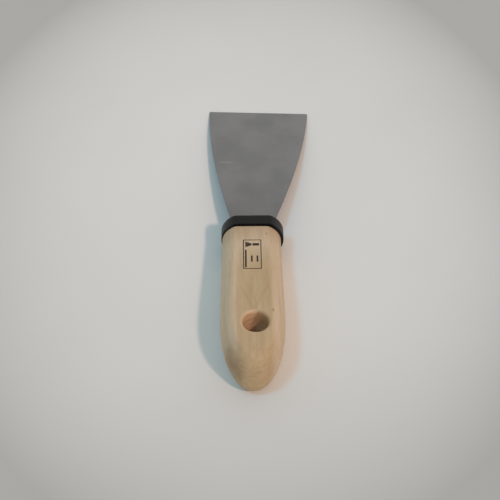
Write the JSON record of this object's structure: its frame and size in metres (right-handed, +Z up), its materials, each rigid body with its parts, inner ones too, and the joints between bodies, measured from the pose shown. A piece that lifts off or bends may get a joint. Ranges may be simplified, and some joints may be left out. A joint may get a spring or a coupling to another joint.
{
  "type": "flexible putty knife",
  "caption": "Flexible putty knife: thin flared steel blade in a black plastic ferrule, with a rounded beech handle and a hanging hole.",
  "frame": {"origin": "centre of the hanging hole where it comes out on the surface that the knife lies on", "axes": "+Y along the handle towards the working edge, +Z up from the surface that the knife lies on, +X to the right seen from above with the edge pointing away"},
  "size_m": [0.06, 0.2117, 0.03],
  "materials": {
    "beech": "sanded bare beech, matt",
    "black_plastic": "moulded, satin",
    "spring_steel": "fine ground, dull satin",
    "cured_resin": "cured resin"
  },
  "bodies": {
    "grip": {"handle": "beech", "ferrule": "black_plastic", "tang_adhesive": "cured_resin"},
    "blade": {"blade": "spring_steel"}
  },
  "joints": [
    {"name": "blade_flex", "type": "hinge", "parent": "grip", "child": "blade", "pos_m": [0.00005, 0.09223, 0.01086], "axis": [0.999, -0.0453, 0.0015], "range_deg": [0, 25], "stiffness_Nm_per_rad": 4.3, "deforming": ["blade"]}
  ]
}
